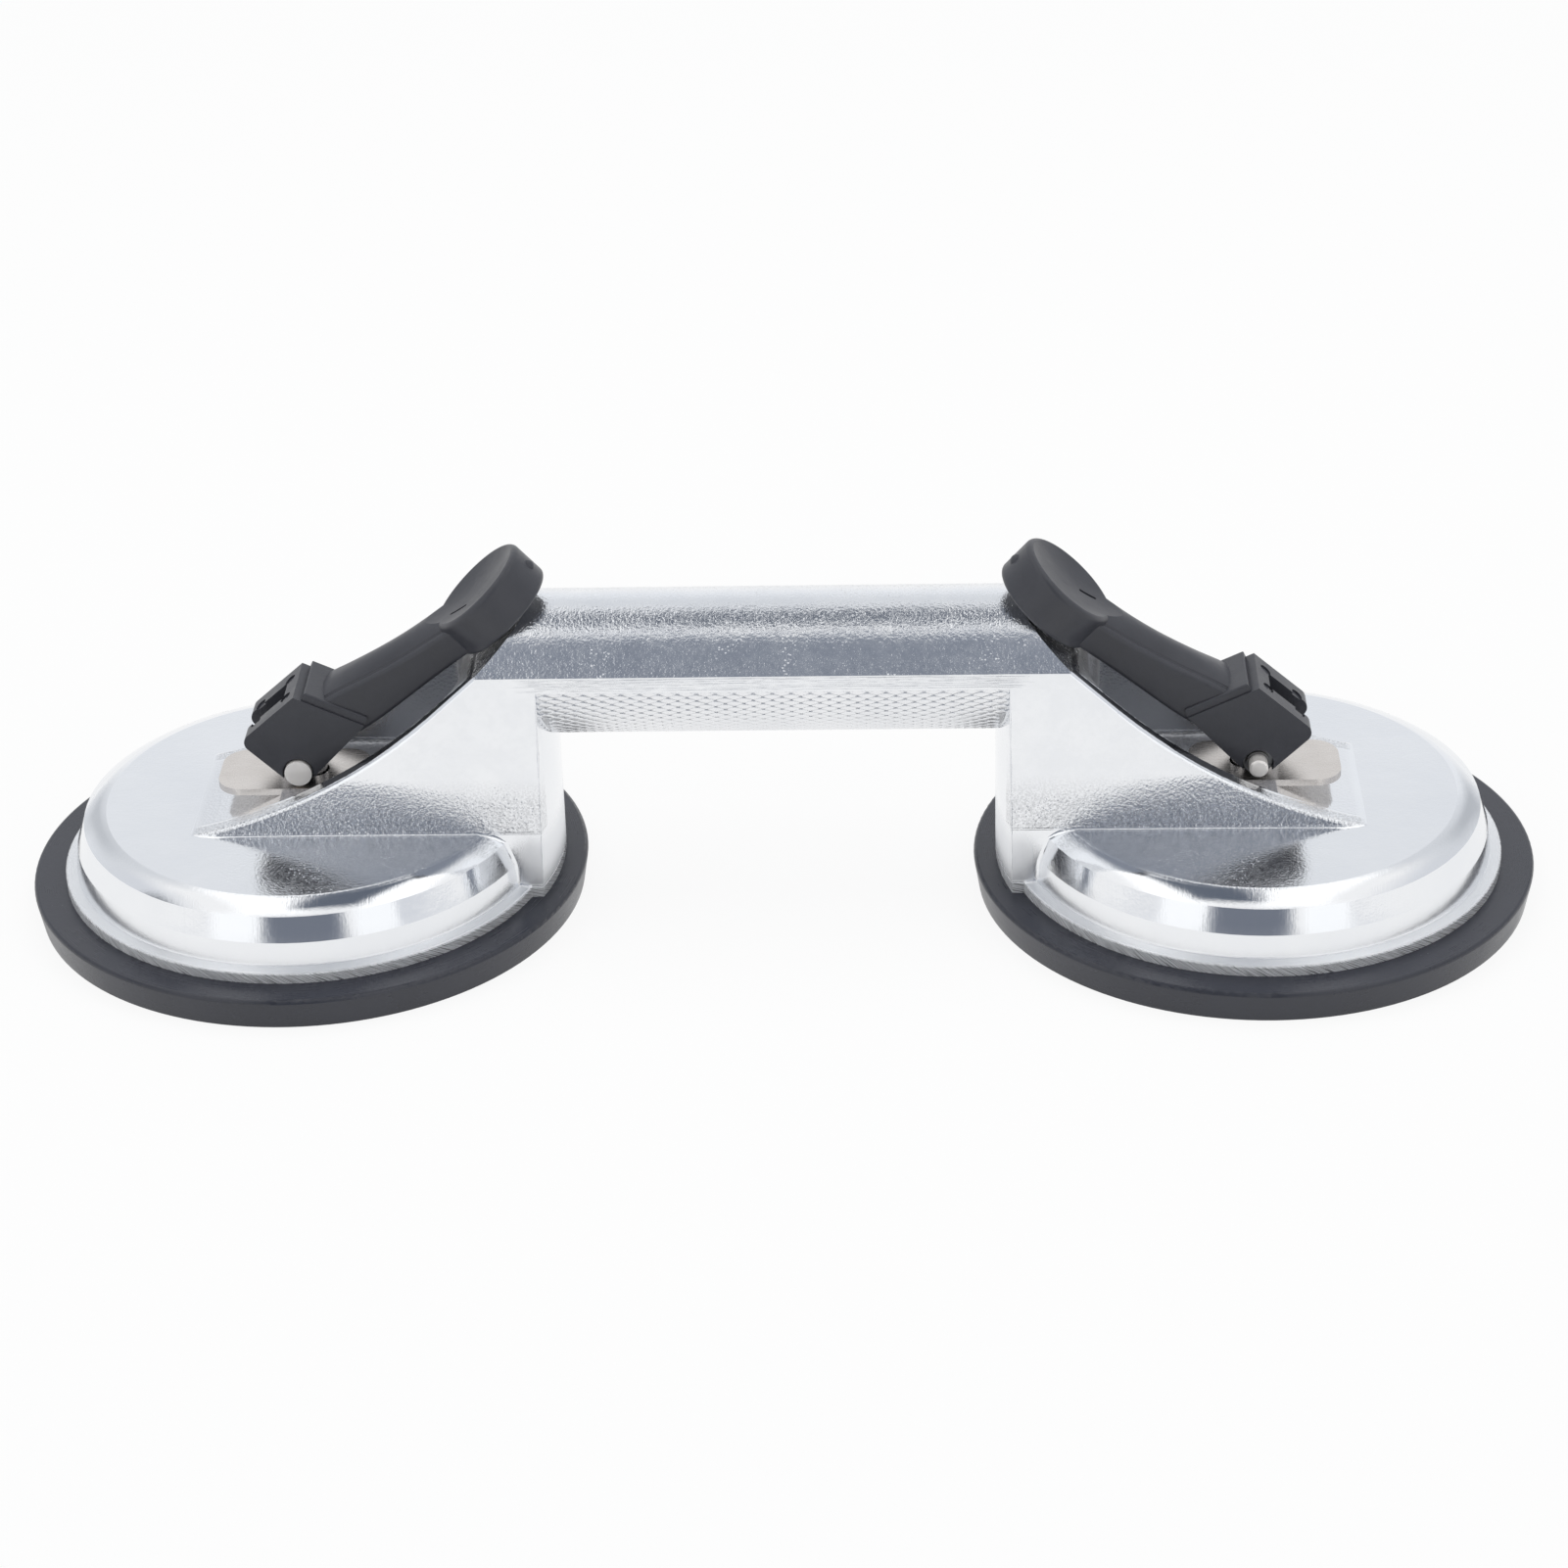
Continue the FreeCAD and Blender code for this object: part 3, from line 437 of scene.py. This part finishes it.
def link_mesh(name, points, faces, material=None, smooth=False):
    mesh = bpy.data.meshes.new(name)
    mesh.from_pydata(points, [], faces)
    if smooth:
        mesh.polygons.foreach_set("use_smooth", [True] * len(mesh.polygons))
    if material:
        mesh.materials.append(material)
    thing = bpy.data.objects.new(name, mesh)
    bpy.context.scene.collection.objects.link(thing)
    return thing


def strips(start, rings, sides):
    """Faces between rings of points that follow each other."""
    return [(low + k, low + (k + 1) % sides, low + sides + (k + 1) % sides, low + sides + k)
            for low in range(start, start + (rings - 1) * sides, sides) for k in range(sides)]


def riser_face(y):
    """How far from the middle of the grip the riser's inner end stands, at this depth."""
    return CUP_X - math.sqrt(RISER_RADIUS ** 2 - y * y)


def on_belly(x, angle, height):
    """Point above the grip's rounded underside; the angle runs from its front edge down."""
    reach = BELLY_RADIUS + height
    return (x, -reach * math.cos(angle), BELLY_Z - reach * math.sin(angle))


def lozenge(start, middle, angle, outline):
    """Points and faces of one raised lozenge, the first point being number start."""
    points = [on_belly(middle + u * share * LOZENGE_HALF_LENGTH,
                       angle + v * share * LOZENGE_HALF_WIDTH / BELLY_RADIUS, height)
              for share, height in LOZENGE_RINGS for u, v in outline]
    top = start + len(points)
    last = top - LOZENGE_SIDES
    points.append(on_belly(middle, angle, LOZENGE_RISE))
    faces = strips(start, len(LOZENGE_RINGS), LOZENGE_SIDES)
    faces += [(last + k, last + (k + 1) % LOZENGE_SIDES, top) for k in range(LOZENGE_SIDES)]
    return points, faces


def knurling():
    """Raised lozenges in staggered rows round the grip's underside, between the risers."""
    angles = [math.tau * k / LOZENGE_SIDES for k in range(LOZENGE_SIDES)]
    outline = [tuple(math.copysign(abs(v) ** LOZENGE_POWER, v) for v in (math.cos(a), math.sin(a)))
               for a in angles]
    rows = int((math.pi * BELLY_RADIUS - 2 * KNURL_MARGIN) / LOZENGE_ROW)
    first = math.pi / 2 - (rows - 1) / 2 * LOZENGE_ROW / BELLY_RADIUS
    points = []
    faces = []
    for row in range(rows):
        angle = first + row * LOZENGE_ROW / BELLY_RADIUS
        limit = riser_face(BELLY_RADIUS * math.cos(angle)) - LOZENGE_PITCH / 2 + KNURL_OVERRUN
        count = int(limit / LOZENGE_PITCH)
        shift = 0.5 * (row % 2)
        for column in range(-count - 1, count + 1):
            middle = (column + 0.5 + shift) * LOZENGE_PITCH
            if abs(middle) <= limit:
                more_points, more_faces = lozenge(len(points), middle, angle, outline)
                points += more_points
                faces += more_faces
    bumps = link_mesh("grip_knurling", points, faces, knurl_aluminium(), smooth=True)
    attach(bumps, "housing")


def flash_radius(share, cup, front):
    """Radius of the flash at this share of its height, uneven and thinner at its ends.
    Cup and front, each -1 or 1, shift its waves so that no two corners are the same."""
    (large, slow), (small, fast) = FLASH_WAVES
    uneven = (FLASH_MEAN + large * math.sin(slow * share + cup)
              + small * math.sin(fast * share + front))
    return FLASH_RADIUS * uneven * min(1.0, FLASH_TAPER * share + FLASH_TIP,
                                       FLASH_TAPER * (1 - share) + FLASH_TIP)


def parting_flash():
    """Thin uneven ridge where the mould halves met, up each corner of the risers."""
    points = []
    faces = []
    for cup in (-1, 1):
        for front in (-1, 1):
            start = len(points)
            for level in range(FLASH_LEVELS):
                share = level / (FLASH_LEVELS - 1)
                z = FLASH_LOW + (FLASH_HIGH - FLASH_LOW) * share
                y = GRIP_HALF + (BAND_TOP - z) * math.tan(RISER_DRAFT)
                radius = flash_radius(share, cup, front)
                for k in range(FLASH_SIDES):
                    a = math.tau * k / FLASH_SIDES
                    points.append((cup * (riser_face(y) + radius * math.cos(a)),
                                   front * (y + radius * math.sin(a)), z))
            last = len(points) - FLASH_SIDES
            faces += strips(start, FLASH_LEVELS, FLASH_SIDES)
            faces.append(tuple(range(start, start + FLASH_SIDES))[::-1])
            faces.append(tuple(range(last, last + FLASH_SIDES)))
    ridge = link_mesh("parting_flash", points, faces, CAST_ALUMINIUM, smooth=True)
    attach(ridge, "housing")


knurling()
parting_flash()


# ---- camera, fitted to the photograph ------------------------------------------
CAMERA_AZIMUTH = math.radians(2.4202)          # to the right of straight in front
CAMERA_ELEVATION = math.radians(29.3217)
CAMERA_ROLL = math.radians(-1.70499)
CAMERA_TARGET = Vector((0.00122446, 0.0, 0.0232307))
CAMERA_DISTANCE = 0.880382
CAMERA_LENS = 94.132           # millimetres, as the sensor's width
CAMERA_SENSOR = 36.0


def photograph_camera():
    level = math.cos(CAMERA_ELEVATION)
    back = Vector((math.sin(CAMERA_AZIMUTH) * level, -math.cos(CAMERA_AZIMUTH) * level,
                   math.sin(CAMERA_ELEVATION)))
    right = Vector((math.cos(CAMERA_AZIMUTH), math.sin(CAMERA_AZIMUTH), 0.0))
    up = back.cross(right)
    across = right * math.cos(CAMERA_ROLL) + up * math.sin(CAMERA_ROLL)
    upward = up * math.cos(CAMERA_ROLL) - right * math.sin(CAMERA_ROLL)
    data = bpy.data.cameras.new("camera")
    data.lens = CAMERA_LENS
    data.sensor_width = CAMERA_SENSOR
    camera = bpy.data.objects.new("camera", data)
    camera.matrix_world = Matrix.Translation(CAMERA_TARGET + back * CAMERA_DISTANCE) @ Matrix(
        (across, upward, back)).transposed().to_4x4()
    bpy.context.scene.collection.objects.link(camera)
    bpy.context.scene.camera = camera


# ---- studio --------------------------------------------------------------------
WHITE = (1.0, 1.0, 1.0)
FLOOR_PAINT = (0.9, 0.9, 0.9)
FLOOR_HALF = 6.0
FLOOR_LEVEL = -0.0001          # a hair under the pads
FLOOR_GLOW = 0.9               # share of plain white in what the camera sees of it
WORLD_LIGHT = (0.96, 0.98, 1.0)
WORLD_STRENGTH = 0.45
CARD_STEPS = 12                # a card's faces each way
CARD_LIFT = 0.05               # height of the cards' common centre
LAMPS = (
    # name, place, width, height, watts
    ("overhead", (0.0, 0.25, 1.3), 1.8, 1.2, 9.0),
    ("left_fill", (-1.3, -0.5, 0.9), 0.9, 0.9, 4.0),
    ("right_fill", (1.3, -0.5, 0.9), 0.9, 0.9, 4.0),
)
CARDS = (
    # name, turns, rises, tone, soft edges of the two, distance: angles in degrees
    ("front_low", (-22, 20), (-10, 26), (0.185, 0.205, 0.25), (7, 9), 1.49),
    ("front_card", (-22, 20), (-10, 84), (0.28, 0.305, 0.355), (7, 8), 1.50),
    ("left_box", (-46, -18), (-6, 90), (1.12, 1.13, 1.14), (5, 6), 1.55),
    ("right_box", (21, 46), (-6, 90), (1.12, 1.13, 1.14), (4, 6), 1.55),
    ("left_gap", (-60, -38), (60, 110), (0.20, 0.21, 0.23), (6, 10), 1.45),
    ("right_gap", (40, 58), (62, 94), (0.42, 0.43, 0.45), (6, 10), 1.45),
    ("top_gap", (-12, 9), (87, 124), (0.13, 0.15, 0.19), (4, 6), 1.45),
    ("left_strip", (-25, -4), (80, 130), (1.25, 1.25, 1.25), (4, 8), 1.50),
    ("right_strip", (4, 25), (80, 130), (1.25, 1.25, 1.25), (4, 8), 1.50),
    ("left_stand", (-48, -25), (132, 178), (0.58, 0.60, 0.63), (9, 14), 1.55),
    ("right_stand", (25, 48), (132, 178), (0.54, 0.56, 0.59), (9, 14), 1.55),
    ("back_high", (-56, 56), (116, 156), (0.74, 0.76, 0.79), (14, 14), 1.65),
    ("back_wall", (-56, 56), (130, 178), (0.90, 0.92, 0.95), (14, 16), 1.70),
    ("left_wall", (-88, -30), (2, 178), (0.74, 0.76, 0.80), (12, 4), 1.75),
    ("right_wall", (30, 88), (2, 178), (0.74, 0.76, 0.80), (12, 4), 1.75),
)


def in_view(t):
    """1 for what the camera and reflections show, 0 for the light that falls on the lifter."""
    path = t.add("ShaderNodeLightPath").outputs
    seen = t.math("MAXIMUM", path["Is Camera Ray"], path["Is Glossy Ray"])
    return t.math("MAXIMUM", seen, path["Is Transmission Ray"])


def pale_floor():
    corners = [(x * FLOOR_HALF, y * FLOOR_HALF, FLOOR_LEVEL)
               for x, y in ((-1, -1), (1, -1), (1, 1), (-1, 1))]
    floor = link_mesh("floor", corners, [(0, 1, 2, 3)])
    t = material_tree("floor")
    paint = t.add("ShaderNodeBsdfDiffuse", {"Color": (*FLOOR_PAINT, 1)}).outputs[0]
    glow = t.product(in_view(t), FLOOR_GLOW)
    floor.data.materials.append(t.finish(t.layered(glow, paint, t.glow(WHITE))))


def background(t, colour, strength):
    return t.add("ShaderNodeBackground", {"Color": (*colour, 1), "Strength": strength}).outputs[0]


def white_world():
    """Plain white to look at, softer and a little blue as light."""
    world = bpy.data.worlds.new("studio")
    t = Tree(world, "ShaderNodeOutputWorld")
    t.finish(t.layered(in_view(t), background(t, WORLD_LIGHT, WORLD_STRENGTH),
                       background(t, WHITE, 1.0)))
    bpy.context.scene.world = world


def lamp(name, place, width, height, watts):
    """Soft lamp aimed at the lifter. Reflections show the cards instead of it."""
    data = bpy.data.lights.new(name, "AREA")
    data.shape = "RECTANGLE"
    data.size = width
    data.size_y = height
    data.energy = watts
    thing = bpy.data.objects.new(name, data)
    thing.location = place
    thing.rotation_euler = (-Vector(place)).to_track_quat("-Z", "Y").to_euler()
    thing.visible_glossy = False
    bpy.context.scene.collection.objects.link(thing)


def card_mesh(name, turns, rises, reach):
    """Curved panel with its share of width and height as UV. Turn 0 is the front and grows to
    the right; rise goes from the front's horizon over the top to the back."""
    def spread(low, high):
        return [math.radians(low + (high - low) * i / CARD_STEPS) for i in range(CARD_STEPS + 1)]

    points = [(reach * math.sin(turn), -reach * math.cos(turn) * math.cos(rise),
               reach * math.cos(turn) * math.sin(rise) + CARD_LIFT)
              for rise in spread(*rises) for turn in spread(*turns)]
    row = CARD_STEPS + 1
    faces = [(r * row + c, r * row + c + 1, (r + 1) * row + c + 1, (r + 1) * row + c)
             for r in range(CARD_STEPS) for c in range(CARD_STEPS)]
    panel = link_mesh(name, points, faces)
    layer = panel.data.uv_layers.new(name="share")
    for loop in panel.data.loops:
        up, across = divmod(loop.vertex_index, row)
        layer.data[loop.index].uv = (across / CARD_STEPS, up / CARD_STEPS)
    return panel


def card(name, turns, rises, tone, soft, reach):
    """Soft-edged studio card that only reflections show."""
    panel = card_mesh(name, turns, rises, reach)
    t = material_tree(name)
    uv = t.add("ShaderNodeTexCoord").outputs["UV"]
    share = t.add("ShaderNodeSeparateXYZ", {0: uv}).outputs
    fades = [edge / (high - low) for edge, (low, high) in zip(soft, (turns, rises))]
    cover = t.product(*(t.band(share[i], fade, 1 - fade, fade) for i, fade in enumerate(fades)))
    clear = t.add("ShaderNodeBsdfTransparent").outputs[0]
    panel.data.materials.append(t.finish(t.layered(cover, clear, t.glow(tone))))
    panel.visible_camera = False
    panel.visible_diffuse = False
    panel.visible_shadow = False
    panel.visible_transmission = False


bpy.context.scene.view_settings.view_transform = "Standard"
photograph_camera()
pale_floor()
white_world()
for settings in LAMPS:
    lamp(*settings)
for settings in CARDS:
    card(*settings)
